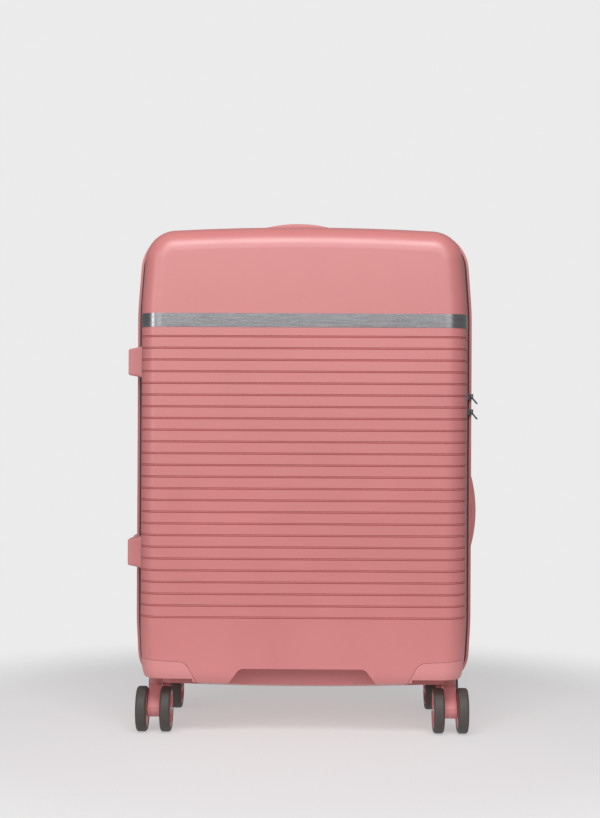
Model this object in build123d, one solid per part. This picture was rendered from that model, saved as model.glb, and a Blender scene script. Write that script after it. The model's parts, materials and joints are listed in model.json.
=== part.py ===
"""Hard shell suitcase on four spinner casters, standing upright.

Millimetres. +X is the viewer's right, +Y goes back from the front face, +Z is up. The origin is on
the floor, under the middle of the case. The front half swings open about a vertical line at the left.
"""
import os
from math import cos, radians, sin, tan

from build123d import *

# Case shells: two drafted bowls whose rims face each other across the zip
FRONT_HALF_WIDTH = 213.0        # front rim, from the middle to its side
RIM_BAND = 6.0                  # how much further out the rear rim stands on each side
REAR_HALF_WIDTH = FRONT_HALF_WIDTH + RIM_BAND
CASE_TOP = 640.0
CASE_BOTTOM = 41.0
HALF_DEPTH = 135.0              # middle of the zip to either flat face
ZIP_SLOT = 8.0                  # slot between the two rims
SHELL_DEPTH = HALF_DEPTH - ZIP_SLOT / 2
WALL = 3.0
DRAFT = 6.3                     # degrees that every wall leans in towards the flat face
FACE_RADIUS = 27.0
TOP_CORNER_RADIUS = 51.0
BOTTOM_CORNER_RADIUS = 40.0
TOP_ARCH_RADIUS = 2900.0
BOTTOM_ARCH_RADIUS = 4500.0
STRAIGHT_LOW = CASE_BOTTOM + 84.0     # the sides are upright between these two heights
STRAIGHT_HIGH = CASE_TOP - 110.0
LEAN_HIGH = 4.0                 # degrees that the sides lean in above and below them
LEAN_LOW = 3.0
LEAN_RADIUS = 350.0
SOLE_RISE = 11.0                # degrees that the underside rises towards the flat face
SOLE_START = 6.0                # from the rim to where it starts to rise

# Grooves and trim strip round both shells
GROOVE_PITCH = 14.37
GROOVE_DEPTH = 1.3
GROOVE_LOWEST = STRAIGHT_LOW + 7.5
GROOVE_END = 3.5                # bare rim left past the ends of the grooves
STRIP_HEIGHT = 16.9
STRIP_BOTTOM = CASE_TOP - 136.6
STRIP_INLAY = 1.0               # depth of its channel
STRIP_PROUD = 0.5
CUTTER_CLEAR = 4.0              # how far groove and strip cutters reach outside the surface
STRIP_END = 3.5                 # bare shell left between its ends and the rim

# Finger recess under the front edge
RECESS_HALF_TOP = 77.0
RECESS_FLARE = 36.0             # degrees that its ends lean outwards towards the bottom
RECESS_TOP = CASE_BOTTOM + 43.0
RECESS_DEPTH = 40.0
RECESS_RADIUS = 10.0

# Zip: tape inside the rims, coil along its edge
TAPE = 1.1
TAPE_REACH = 11.0               # how far the tape follows the wall into each shell
COIL = 1.5
COIL_INSET = 4.0                # rim line to the coil
SEAM = 0.3                      # half the gap between the two coils
HINGE_CLEAR_X = FRONT_HALF_WIDTH - 26.0
GUSSET_GAP = 0.1                # coil to the fabric hinge
GUSSET_START = 1.0              # middle of the zip to the hinge's front edge
GUSSET_END = 5.0

# Casters
CASTER_X = FRONT_HALF_WIDTH - 28.5
CASTER_Y = HALF_DEPTH - 55.0
WHEEL_RADIUS = 28.0
HUB_RADIUS = 22.6
TYRE_WIDTH = 13.4
FORK_WIDTH = 15.5
WHEEL_GAP = 0.5                 # fork to wheel
TRAIL = 20.0                    # swivel axis to axle, towards the front
AXLE_RADIUS = 3.0
AXLE_CAP = 1.2                  # axle left standing out of each hub
STEM_RADIUS = 4.0
COLLAR_RADIUS = 8.3
AXLE_BOSS = 9.8
WEB_RADIUS = 3.0
RUNNING = 0.05                  # radial clearance of a turning fit
WELL_ROOF = 71.0
WELL_RADIUS = 56.5
WELL_WALL = 3.0
HOUSING_TOP = WELL_ROOF + 25.5
HOUSING_TOP_FALL = 5.0          # how much lower its seam is at the inner end
HOUSING_INNER_X = CASTER_X - 52.5
HOUSING_LEAN = 28.0             # degrees that its inner seam leans outwards, upwards
HOUSING_INNER_Y = CASTER_Y - 58.0
HOUSING_RADIUS = 15.0
HOUSING_SEAM = 0.35
FLANGE = 2.5
FLANGE_WIDTH = 7.0
BOSS_RADIUS = 12.0
BOSS_HEIGHT = 16.0

# Side feet, on the hinge side
FEET_OUT = 7.0                  # how far they stand out past the rear rim
FOOT_LENGTH = 33.0              # of its outer face
FOOT_WIDTH = 24.0
FOOT_DRAFT = 11.0
FOOT_EDGE = 2.6
FOOT_ROOT = 21.0                # foot's full height, buried root included
FOOT_Y = 30.0
FEET_Z = (STRAIGHT_LOW + 93.0, STRIP_BOTTOM - 41.0)

# Sprung carry handles on the rear shell, one on top and one at the side
HANDLE_Y = 40.0
TOP_HANDLE_X = -9.0
SIDE_HANDLE_Z = STRAIGHT_LOW + 144.0
HANDLE_PEAK = 12.5
HANDLE_RADIUS = 180.0
HANDLE_HALF = 72.0
HANDLE_EDGE = 2.2
HANDLE_THICK = 6.0
HANDLE_WIDTH = 26.0
STEM_X = 66.0
STEM_LENGTH = 8.0
STEM_WIDTH = 14.0
STEM_DEPTH = 22.0
STEM_RISE = 1.2                 # how far each stem runs up into the grip
STOP_THICK = 2.0
STOP_REACH = 3.0                # how much wider the stop is than the stem on each side
MOUNT_X = 71.0
MOUNT_LENGTH = 28.0
MOUNT_WIDTH = 37.0
MOUNT_HEIGHT = 5.0
MOUNT_EDGE = 2.0
SLIDE_GAP = 0.4

# Telescopic trolley at the back
TUBE_X = 85.0
TUBE_Y = HALF_DEPTH - 25.0
TUBE_WIDE = 22.0
TUBE_DEEP = 13.0
TUBE_WALL = 1.0
TUBE_GAP = 0.1
TUBE_FOOT = 74.0
BEZEL_HALF = 107.0
BEZEL_FRONT = TUBE_Y - 31.0
BEZEL_BACK = TUBE_Y + 16.0
BEZEL_BOTTOM = CASE_TOP - 46.0
BEZEL_FLOOR = 6.0
BEZEL_PROUD = 0.8
BEZEL_LIP = 3.0
BEZEL_CORNER = 8.0
POCKET_HALF = 96.0
POCKET_FRONT = TUBE_Y - 17.0
POCKET_BACK = TUBE_Y + 11.0
POCKET_CORNER = 6.0
SCOOP_HALF = 42.0
SCOOP_CORNER = 4.0
GRIP_GAP = 2.0
GRIP_SOCKET = 10.0              # how far the inner tubes go into the grip
MIDDLE_BOTTOM = CASE_BOTTOM + 259.0
STAGE_STEP = 10.0               # how much higher each inner stage starts
BUTTON_LENGTH = 30.0
BUTTON_WIDTH = 12.0
BUTTON_DEPTH = 10.0
BUTTON_TRAVEL = 3.0
BUTTON_PROUD = 1.0
BUTTON_EDGE = 1.5
BUTTON_ROOM = 0.6               # left under a button at the end of its travel
BRACKET_WALL = 9.0
BRACKET_GRIP = 12.0             # how far the tubes go into it

# Combination lock in the rear shell's right side
LOCK_BOTTOM = STRAIGHT_LOW + 247.0
LOCK_HEIGHT = 70.0
LOCK_Y = 30.0
LOCK_WIDTH = 28.0
LOCK_DEPTH = 22.0
LOCK_PROUD = 0.8
DIAL_RADIUS = 7.6
DIAL_WIDTH = 6.0
DIAL_PITCH = 9.0
DIAL_PROUD = 1.0
DIAL_EDGE = 0.6
FIRST_DIAL = 11.0               # lock's lower end to the middle of the lowest dial
DIAL_COUNT = 3
DIAL_SHAFT = 1.5
DIAL_GAP = 0.3
LOCK_BUTTON = 10.0
LOCK_BUTTON_DEPTH = 12.0
LOCK_BUTTON_PROUD = 1.2
LOCK_BUTTON_EDGE = 1.2
LOCK_BUTTON_UP = 44.0           # lock's lower end to its middle
LOCK_BUTTON_TRAVEL = 2.5
KEY_RADIUS = 4.5
KEY_PLUG = 12.0
KEY_UP = 60.0                   # lock's lower end to its middle
KEYWAY = (1.2, 6.0, 5.0)        # width, height and depth

# Zip sliders and pulls on the straight run at the right
SLIDER_Z = (LOCK_BOTTOM + 48.0, LOCK_BOTTOM + 28.0)
SLIDER_LENGTH = 10.0
SLIDER_WIDTH = 6.6
SLIDER_BODY = 4.5
EYE_OUT = 8.8                   # slider's inner face to the middle of the eye in its bridge
EYE_RADIUS = 1.5
SLIDER_EDGE = 0.8
BRIDGE_WIDTH = 2.4
BRIDGE_LENGTH = 7.2
BRIDGE_WALL = 1.1               # metal left outside the eye
PULL_LENGTH = 13.0
PULL_WIDTH = 6.0
PULL_THICK = 1.8
PULL_FRAME = 1.4                # width of its two sides
PULL_CORNER = 1.8
PULL_ANGLE = 40.0               # degrees that the pulls hang out from the side

# Lining, divider and straps
LINING = 1.2
LINING_GAP = 2.0                # shell wall to lining
LINING_RIM = 12.0               # bare wall between the rim and the lining
BULGE_GAP = 2.0                 # between the lining and what it runs round
REAR_FLOOR_Y = TUBE_Y - 12.0
DIVIDER_INSET = 9.0
DIVIDER_THICK = 3.0
DIVIDER_Y = -8.0
STRAP_WIDTH = 25.0
STRAP_THICK = 1.2
STRAP_RISE = 0.36               # share of the case's height between the buckle and each strap's end
BUCKLE = 44.0

FRONT = Plane((0, -ZIP_SLOT / 2, 0), x_dir=(1, 0, 0), z_dir=(0, -1, 0))
REAR = Plane((0, ZIP_SLOT / 2, 0), x_dir=(-1, 0, 0), z_dir=(0, 1, 0))
DRAFT_STEP = tan(radians(DRAFT))


def block(low, high):
    """Box between two opposite corners."""
    size = [b - a for a, b in zip(low, high)]
    return Pos(*low) * Box(*size, align=(Align.MIN, Align.MIN, Align.MIN))


def rod(centre, radius, length, axis=(0, 0, 1)):
    """Cylinder about a centre point, along an axis."""
    return Plane(centre, z_dir=axis) * Cylinder(radius, length)


def mirrored(shape):
    """The shape together with its copy on the other side of the case."""
    return shape + mirror(shape, about=Plane.YZ)


# ---------------------------------------------------------------- shells

def rim_outline(half_width, inset=0.0):
    """Rim line seen from the front, in the XY plane, or a line that far inside it."""
    half = half_width - inset
    top = CASE_TOP - inset
    bottom = CASE_BOTTOM + inset
    corner_x = half - tan(radians(LEAN_HIGH)) * (top - STRAIGHT_HIGH)
    corner_y = top - corner_x ** 2 / (2 * TOP_ARCH_RADIUS)
    foot_x = half - tan(radians(LEAN_LOW)) * (STRAIGHT_LOW - bottom)
    foot_y = bottom + foot_x ** 2 / (2 * BOTTOM_ARCH_RADIUS)
    upright = ((half, STRAIGHT_LOW), (half, STRAIGHT_HIGH))
    right = Polyline((foot_x, foot_y), *upright, (corner_x, corner_y))
    left = mirror(right, about=Plane.YZ)
    arch = ThreePointArc((corner_x, corner_y), (0, top), (-corner_x, corner_y))
    sole = ThreePointArc((-foot_x, foot_y), (0, bottom), (foot_x, foot_y))
    face = make_face([*arch.edges(), *left.edges(), *sole.edges(), *right.edges()])
    face = fillet(face.vertices().group_by(Axis.Y)[-1], TOP_CORNER_RADIUS - inset)
    face = fillet(face.vertices().group_by(Axis.Y)[0], BOTTOM_CORNER_RADIUS - inset)
    breaks = face.vertices().filter_by_position(Axis.Y, STRAIGHT_LOW - 1, STRAIGHT_HIGH + 1)
    return fillet(breaks, LEAN_RADIUS)


def under_sole(inset):
    """Material under the underside, which leans in more than the draft from SOLE_START on."""
    lean = radians(SOLE_RISE)
    reach = REAR_HALF_WIDTH + 10
    low = CASE_BOTTOM + inset - SOLE_START * (tan(lean) - DRAFT_STEP)
    end = low + reach ** 2 / (2 * BOTTOM_ARCH_RADIUS)
    arc = ThreePointArc((reach, end), (0, low), (-reach, end))
    rest = Polyline((-reach, end), (-reach, low - CASE_BOTTOM), (reach, low - CASE_BOTTOM), (reach, end))
    face = make_face([*arc.edges(), *rest.edges()])
    return extrude(face, amount=(SHELL_DEPTH + 20) / cos(lean), dir=(0, sin(lean), cos(lean)))


def bowl(side, half_width, inset=0.0):
    """Drafted bowl shape of one half, filled, with its surface that far inside the shell's."""
    solid = extrude(rim_outline(half_width, inset), amount=SHELL_DEPTH - inset, taper=DRAFT)
    solid = fillet(solid.faces().sort_by(Axis.Z)[-1].edges(), FACE_RADIUS - inset)
    return side * (solid - under_sole(inset))


def plan_section(half_width, outset=0.0):
    """Level section through the straight part of a half, with its rim on the X axis and its face at -Y."""
    face_half = half_width - SHELL_DEPTH * DRAFT_STEP
    left = ((-half_width, 5), (-half_width, 0), (-face_half, -SHELL_DEPTH))
    right = ((face_half, -SHELL_DEPTH), (half_width, 0), (half_width, 5))
    face = make_face(Polyline(*left, *right, close=True))
    face = fillet(face.vertices().group_by(Axis.Y)[0], FACE_RADIUS)
    return offset(face, outset) if outset else face


def groove_cutter(half_width):
    """Material outside a V with its tip inside the level section, centred on Z = 0."""
    core = extrude(plan_section(half_width), amount=GROOVE_DEPTH, taper=45)
    outside = extrude(plan_section(half_width, CUTTER_CLEAR), amount=GROOVE_DEPTH, both=True)
    groove = outside - (core + mirror(core, about=Plane.XY))
    reach = half_width + 2 * CUTTER_CLEAR
    far = -SHELL_DEPTH - 2 * CUTTER_CLEAR
    return groove & block((-reach, far, -GROOVE_DEPTH), (reach, -GROOVE_END, GROOVE_DEPTH))


def turned_to(side, shape):
    """A level shape made for the front half, moved to the half it is for."""
    moved = Pos(0, -ZIP_SLOT / 2, 0) * shape
    return moved if side is FRONT else Rot(0, 0, 180) * moved


def grooves(side, half_width):
    """The evenly spaced V grooves between the caster housings and the trim strip."""
    count = int((STRIP_BOTTOM - GROOVE_LOWEST - GROOVE_PITCH / 2) / GROOVE_PITCH) + 1
    cutter = turned_to(side, groove_cutter(half_width))
    return [Pos(0, 0, GROOVE_LOWEST + GROOVE_PITCH * n) * cutter for n in range(count)]


def strip_band(inside, outside):
    """Band round the front shell between two offsets of its surface, at the strip's height."""
    ring = plan_section(FRONT_HALF_WIDTH, outside) - plan_section(FRONT_HALF_WIDTH, inside)
    band = turned_to(FRONT, Pos(0, 0, STRIP_BOTTOM) * extrude(ring, amount=STRIP_HEIGHT))
    reach = FRONT_HALF_WIDTH + 2 * CUTTER_CLEAR
    far = -HALF_DEPTH - 2 * CUTTER_CLEAR
    return band & block((-reach, far, 0), (reach, -ZIP_SLOT / 2 - STRIP_END, CASE_TOP))


def recess(grow):
    """Finger recess under the front edge, open to the front and below."""
    top = RECESS_TOP + grow
    half_top = RECESS_HALF_TOP + grow
    half_bottom = recess_half(0) + grow
    corners = ((-half_bottom, 0), (half_bottom, 0), (half_top, top), (-half_top, top))
    outline = make_face(Polyline(*corners, close=True))
    outline = fillet(outline.vertices().group_by(Axis.Y)[-1], RECESS_RADIUS + grow)
    wall = Plane((0, -HALF_DEPTH + RECESS_DEPTH + grow, 0), x_dir=(1, 0, 0), z_dir=(0, -1, 0))
    return wall * extrude(outline, amount=RECESS_DEPTH + grow + 20)


def recess_half(z):
    """Half the finger recess's width at a height."""
    return RECESS_HALF_TOP + (RECESS_TOP - z) * tan(radians(RECESS_FLARE))


def front_shell():
    hollow = bowl(FRONT, FRONT_HALF_WIDTH, WALL) - recess(WALL)
    shell = bowl(FRONT, FRONT_HALF_WIDTH) - hollow - recess(0)
    shell -= strip_band(-STRIP_INLAY, CUTTER_CLEAR)
    shell -= housing_zones(-1, HOUSING_SEAM)
    return shell - grooves(FRONT, FRONT_HALF_WIDTH)


def rear_shell():
    shell = bowl(REAR, REAR_HALF_WIDTH) - bowl(REAR, REAR_HALF_WIDTH, WALL)
    shell -= housing_zones(1, HOUSING_SEAM)
    shell -= bezel_zone(0)
    shell -= lock_block(SLIDE_GAP / 2)
    shell -= stem_holes(top_frame()) + stem_holes(side_frame())
    return shell - grooves(REAR, REAR_HALF_WIDTH)


def trim_strip():
    return strip_band(-STRIP_INLAY, STRIP_PROUD)


# ---------------------------------------------------------------- zip

def zip_half(side, half_width):
    """Tape and coil of one half. The coil stops short of the fabric hinge."""
    sleeve = extrude(rim_outline(half_width, WALL), amount=TAPE_REACH, taper=DRAFT)
    sleeve -= extrude(rim_outline(half_width, WALL + TAPE), amount=TAPE_REACH, taper=DRAFT)
    coil_inner = COIL_INSET + 2 * COIL
    ledge = rim_outline(half_width, WALL + TAPE / 2) - rim_outline(FRONT_HALF_WIDTH, coil_inner)
    ledge = extrude(ledge, amount=TAPE)
    coil = rim_outline(FRONT_HALF_WIDTH, COIL_INSET) - rim_outline(FRONT_HALF_WIDTH, coil_inner)
    coil = extrude(coil, amount=-(ZIP_SLOT / 2 - SEAM))
    zip_side = side * (sleeve - under_sole(WALL) + ledge + coil)
    half_slot = ZIP_SLOT / 2
    gap_low = (-REAR_HALF_WIDTH, -half_slot, STRAIGHT_LOW)
    return zip_side - block(gap_low, (-HINGE_CLEAR_X, half_slot, STRAIGHT_HIGH))


def hinge_gusset():
    """Fabric strip inside the rims at the left, which both halves turn on."""
    x = -FRONT_HALF_WIDTH + COIL_INSET + 2 * COIL + GUSSET_GAP
    low = (x, GUSSET_START, STRAIGHT_LOW + GUSSET_END)
    return block(low, (x + TAPE, LINING_RIM + 3, STRAIGHT_HIGH - GUSSET_END))


def slider_x():
    """Inner face of the sliders, just outside the coil."""
    return FRONT_HALF_WIDTH - COIL_INSET + 0.5


def slider(z):
    """Slider body over the coil, with the bridge that the pull hangs from."""
    x = slider_x()
    half = SLIDER_WIDTH / 2
    low = z - SLIDER_LENGTH / 2
    body = block((x, -half, low), (x + SLIDER_BODY, half, low + SLIDER_LENGTH))
    body = chamfer(body.edges().filter_by(Axis.Y), SLIDER_EDGE)
    side, rise = BRIDGE_WIDTH / 2, BRIDGE_LENGTH / 2
    bridge_low = (x + SLIDER_BODY, -side, z - rise)
    bridge = block(bridge_low, (x + EYE_OUT + EYE_RADIUS + BRIDGE_WALL, side, z + rise))
    eye = rod((x + EYE_OUT, 0, z), EYE_RADIUS, BRIDGE_WIDTH + 1, (0, 1, 0))
    return body + bridge - eye


def pull(z):
    """Open-framed tab, hinged in the bridge's eye and hanging out at its angle."""
    window = (PULL_WIDTH - 2 * PULL_FRAME, PULL_LENGTH - PULL_THICK - 2 * PULL_FRAME)
    frame = Rectangle(PULL_WIDTH, PULL_LENGTH) - Pos(0, (PULL_FRAME - 0.2) / 2) * Rectangle(*window)
    frame = fillet(frame.vertices().group_by(Axis.Y)[0], PULL_CORNER)
    tab = extrude(frame, amount=PULL_THICK / 2, both=True)
    tab = Pos(0, -PULL_LENGTH / 2 + PULL_THICK / 2, 0) * tab
    hung = Plane((0, 0, 0), x_dir=(0, 1, 0), z_dir=(1, 0, 0)) * tab
    return Pos(slider_x() + EYE_OUT, 0, z) * Rot(0, -PULL_ANGLE, 0) * hung


# ---------------------------------------------------------------- casters and their housings

def housing_zones(front_or_rear, grow):
    """Both corner spaces of a half that its caster housings fill. front_or_rear is -1 or 1."""
    outer_x = REAR_HALF_WIDTH + 30
    seam_top = HOUSING_TOP - HOUSING_TOP_FALL
    shift = tan(radians(HOUSING_LEAN))
    low_x = HOUSING_INNER_X - HOUSING_RADIUS / 2 - grow - (WELL_ROOF - CASE_BOTTOM) * shift / 2
    high_x = low_x + seam_top * shift - CASE_BOTTOM * shift
    outline = ((low_x, CASE_BOTTOM), (low_x, 0), (outer_x, 0), (outer_x, HOUSING_TOP + grow))
    corner = (high_x, seam_top + grow)
    profile = make_face(Polyline(*outline, corner, close=True))
    profile = fillet(profile.vertices().sort_by_distance(corner)[0], HOUSING_RADIUS)
    length = HALF_DEPTH + 20 - HOUSING_INNER_Y + grow
    near = Plane((0, HOUSING_INNER_Y - grow, 0), x_dir=(-1, 0, 0), z_dir=(0, 1, 0))
    corner_box = mirror(near * extrude(profile, amount=length), about=Plane.YZ)
    top_of_round = WELL_ROOF + WELL_WALL
    roundel = rod((CASTER_X, CASTER_Y, top_of_round / 2), WELL_RADIUS + WELL_WALL + grow, top_of_round)
    zone = mirrored(corner_box + roundel)
    return zone if front_or_rear > 0 else mirror(zone, about=Plane.XZ)


def caster_housings(side, half_width):
    """Two corner housings: flush skin, roof over the wheel well, well wall, stem boss and inner flange."""
    sign = -1 if side is FRONT else 1
    outer = bowl(side, half_width)
    inside = bowl(side, half_width, WALL)
    reach = REAR_HALF_WIDTH + 40
    above_roof = block((-reach, -reach, WELL_ROOF + WELL_WALL), (reach, reach, HOUSING_TOP + 30))
    hollow = inside & above_roof
    well = well_spaces(sign)
    body = (outer & housing_zones(sign, 0)) - well - hollow
    boss_middle = (CASTER_X, sign * CASTER_Y, WELL_ROOF + BOSS_HEIGHT / 2)
    bosses = mirrored(rod(boss_middle, BOSS_RADIUS, BOSS_HEIGHT))
    liner = (inside - bowl(side, half_width, WALL + FLANGE)) & housing_zones(sign, FLANGE_WIDTH) & above_roof
    bore_height = WELL_ROOF + BOSS_HEIGHT - 3
    bores = mirrored(rod((CASTER_X, sign * CASTER_Y, bore_height / 2), STEM_RADIUS + RUNNING, bore_height))
    return body + (bosses & inside) + liner - bores


def well_spaces(sign):
    """Room under each housing for the caster to swivel, open below and outwards."""
    y_in = HOUSING_INNER_Y + WELL_WALL
    far = HALF_DEPTH + 20
    box = block((HOUSING_INNER_X + WELL_WALL, y_in, 0), (REAR_HALF_WIDTH + 20, far, WELL_ROOF))
    room = mirrored(box + rod((CASTER_X, CASTER_Y, WELL_ROOF / 2), WELL_RADIUS, WELL_ROOF))
    return room if sign > 0 else mirror(room, about=Plane.XZ)


def fork(x, y):
    """Collar, stem and the single web that runs forward and down between the two wheels."""
    axle_y = y - TRAIL
    half = FORK_WIDTH / 2
    crown = WHEEL_RADIUS * 2 + 0.5
    boss = rod((x, axle_y, WHEEL_RADIUS), AXLE_BOSS, FORK_WIDTH, (1, 0, 0))
    side_view = Plane((x - half, 0, 0), x_dir=(0, 1, 0), z_dir=(1, 0, 0))
    front = ((axle_y - AXLE_BOSS, WHEEL_RADIUS + 4), (y - COLLAR_RADIUS, crown))
    rear = y + AXLE_BOSS
    back = ((rear, crown), (rear, crown - AXLE_BOSS), (axle_y + AXLE_BOSS, WHEEL_RADIUS - 1))
    outline = make_face(Polyline((axle_y - AXLE_BOSS, WHEEL_RADIUS), *front, *back, close=True))
    outline = fillet(outline.vertices().group_by(Axis.Y)[-1], WEB_RADIUS)
    web = side_view * extrude(outline, amount=FORK_WIDTH)
    web = fillet(web.edges().filter_by(Plane.YZ).filter_by(GeomType.LINE).group_by(Axis.Y)[0], 1.5)
    collar_top = WELL_ROOF - 0.5
    collar = rod((x, y, (crown - 1 + collar_top) / 2), COLLAR_RADIUS, collar_top - crown + 1)
    stem_top = WELL_ROOF + BOSS_HEIGHT - 4
    stem = rod((x, y, (crown + stem_top) / 2), STEM_RADIUS, stem_top - crown)
    bore = rod((x, axle_y, WHEEL_RADIUS), AXLE_RADIUS, FORK_WIDTH + 1, (1, 0, 0))
    return web + boss + collar + stem - bore


def axle(x, y):
    length = FORK_WIDTH + 2 * (WHEEL_GAP + TYRE_WIDTH + AXLE_CAP)
    return rod((x, y - TRAIL, WHEEL_RADIUS), AXLE_RADIUS, length, (1, 0, 0))


def wheel_pieces(x, y, side):
    """Tyre and hub of the wheel on one side of the fork. side is -1 or 1."""
    centre = (x + side * (FORK_WIDTH / 2 + WHEEL_GAP + TYRE_WIDTH / 2), y - TRAIL, WHEEL_RADIUS)
    tyre = rod(centre, WHEEL_RADIUS, TYRE_WIDTH, (side, 0, 0))
    tyre = fillet(tyre.edges().filter_by(GeomType.CIRCLE), 3.5)
    tyre -= rod(centre, HUB_RADIUS, TYRE_WIDTH + 1, (side, 0, 0))
    hub = rod(centre, HUB_RADIUS, TYRE_WIDTH - 1, (side, 0, 0))
    face = (centre[0] + side * (TYRE_WIDTH - 1) / 2, centre[1], centre[2])
    dish = rod(face, HUB_RADIUS - 4, 5, (side, 0, 0)) - rod(face, 7, 5, (side, 0, 0))
    hub = hub - dish - rod(centre, AXLE_RADIUS + RUNNING, TYRE_WIDTH + 1, (side, 0, 0))
    return tyre, hub


# ---------------------------------------------------------------- side feet

def side_feet(side, half_width):
    """Two tapered rests on one shell's left side, which the case stands on when it is laid down."""
    sign = -1 if side is FRONT else 1
    root_x = -REAR_HALF_WIDTH - FEET_OUT + FOOT_ROOT
    flare = 2 * FOOT_ROOT * tan(radians(FOOT_DRAFT))
    feet = []
    for z in FEET_Z:
        base = Plane((root_x, sign * FOOT_Y, z), x_dir=(0, 1, 0), z_dir=(-1, 0, 0))
        root = Rectangle(FOOT_WIDTH + flare, FOOT_LENGTH + flare)
        shape = extrude(root, amount=FOOT_ROOT, taper=FOOT_DRAFT)
        shape = fillet(shape.edges().group_by(Axis.Z)[-1] + shape.edges().group_by(Axis.Z)[1], FOOT_EDGE)
        feet.append(base * shape - bowl(side, half_width))
    return Compound(children=[solid for foot in feet for solid in foot.solids()])


# ---------------------------------------------------------------- carry handles

def top_frame():
    """Plane on the rear shell's top, under the middle of the top handle."""
    surface = CASE_TOP - (HANDLE_Y - ZIP_SLOT / 2) * DRAFT_STEP
    return Plane((TOP_HANDLE_X, HANDLE_Y, surface), x_dir=(1, 0, 0), z_dir=(0, 0, 1))


def side_frame():
    """Plane on the rear shell's right side, under the middle of the side handle."""
    surface = REAR_HALF_WIDTH - (HANDLE_Y - ZIP_SLOT / 2) * DRAFT_STEP
    return Plane((surface, HANDLE_Y, SIDE_HANDLE_Z), x_dir=(0, 0, -1), z_dir=(1, 0, 0))


def carry_handle(frame):
    """Arched grip with a flat stem and stop at each end, which slide out through the shell."""
    outer = HANDLE_RADIUS
    centre_z = HANDLE_PEAK - outer
    ring = Circle(outer) - Circle(outer - HANDLE_THICK)
    middle = Plane((0, 0, centre_z), x_dir=(1, 0, 0), z_dir=(0, -1, 0))
    arch = middle * extrude(ring, amount=HANDLE_WIDTH / 2, both=True)
    arch &= block((-HANDLE_HALF, -HANDLE_WIDTH, 0), (HANDLE_HALF, HANDLE_WIDTH, HANDLE_PEAK + 1))
    arch = fillet(arch.edges().filter_by(GeomType.CIRCLE).group_by(Axis.Z)[-1], HANDLE_EDGE)
    arch = frame * arch - bowl(REAR, REAR_HALF_WIDTH, -SLIDE_GAP)
    stems = []
    for x in (-STEM_X, STEM_X):
        half = (STEM_LENGTH / 2, STEM_WIDTH / 2)
        stem = block((x - half[0], -half[1], -STEM_DEPTH), (x + half[0], half[1], STEM_RISE))
        stop_low = (x - half[0] - STOP_REACH, -half[1] - STOP_REACH, -STEM_DEPTH - STOP_THICK)
        stop = block(stop_low, (x + half[0] + STOP_REACH, half[1] + STOP_REACH, -STEM_DEPTH))
        stems.append(frame * (stem + stop))
    return arch + stems[0] + stems[1]


def stem_holes(frame):
    """Slots through the shell for both stems of a carry handle."""
    x = STEM_X
    half = (STEM_LENGTH / 2 + SLIDE_GAP, STEM_WIDTH / 2 + SLIDE_GAP)
    depth = WALL + 3 * STOP_REACH
    slot = block((x - half[0], -half[1], -depth), (x + half[0], half[1], depth))
    return frame * (slot + mirror(slot, about=Plane.YZ))


def handle_mount_pair(frame):
    """U-shaped brackets round both ends of a carry handle, seated on the shell."""
    low = (MOUNT_X - MOUNT_LENGTH / 2, -MOUNT_WIDTH / 2, -2 * MOUNT_HEIGHT)
    high = (MOUNT_X + MOUNT_LENGTH / 2, MOUNT_WIDTH / 2, MOUNT_HEIGHT)
    bracket = block(low, high)
    bracket = fillet(bracket.edges().group_by(Axis.Z)[-1], MOUNT_EDGE)
    reach = HANDLE_HALF + SLIDE_GAP
    channel_half = HANDLE_WIDTH / 2 + SLIDE_GAP
    bracket -= block((low[0] - 1, -channel_half, low[2] - 1), (reach, channel_half, MOUNT_HEIGHT + 1))
    pair = frame * (bracket + mirror(bracket, about=Plane.YZ))
    return pair - bowl(REAR, REAR_HALF_WIDTH)


# ---------------------------------------------------------------- trolley

def bezel_zone(grow):
    """Upright space at the top of the rear shell that the trolley's bezel fills."""
    low = (-BEZEL_HALF - grow, BEZEL_FRONT - grow, BEZEL_BOTTOM)
    high = (BEZEL_HALF + grow, BEZEL_BACK + grow, CASE_TOP + 20)
    zone = block(low, high)
    return fillet(zone.edges().filter_by(Axis.Z), BEZEL_CORNER + grow)


def tube_section(stage, grow=0.0):
    """Outer section of a tube stage, counted inwards from 0."""
    step = 2 * stage * (TUBE_WALL + TUBE_GAP) - 2 * grow
    return Rectangle(TUBE_WIDE - step, TUBE_DEEP - step)


def tubes(stage, bottom, top):
    """The left and right hollow tube of one stage."""
    section = tube_section(stage) - tube_section(stage, -TUBE_WALL)
    tube = extrude(section, amount=top - bottom)
    return mirrored(Pos(TUBE_X, TUBE_Y, bottom) * tube)


def trolley_bezel():
    flush = bowl(REAR, REAR_HALF_WIDTH)
    lip = (bowl(REAR, REAR_HALF_WIDTH, -BEZEL_PROUD) - flush) & bezel_zone(BEZEL_LIP)
    floor = BEZEL_BOTTOM + BEZEL_FLOOR
    pocket = block((-POCKET_HALF, POCKET_FRONT, floor), (POCKET_HALF, POCKET_BACK, CASE_TOP + 20))
    pocket = fillet(pocket.edges().filter_by(Axis.Z), POCKET_CORNER)
    scoop_low = (-SCOOP_HALF, BEZEL_FRONT + BEZEL_LIP, floor)
    scoop = block(scoop_low, (SCOOP_HALF, POCKET_FRONT + 8, CASE_TOP + 20))
    scoop = fillet(scoop.edges().filter_by(Axis.Z), SCOOP_CORNER)
    hole = extrude(tube_section(1, TUBE_GAP), amount=BEZEL_FLOOR + 2)
    holes = mirrored(Pos(TUBE_X, TUBE_Y, BEZEL_BOTTOM - 1) * hole)
    return (flush & bezel_zone(0)) + lip - pocket - scoop - holes


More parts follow.
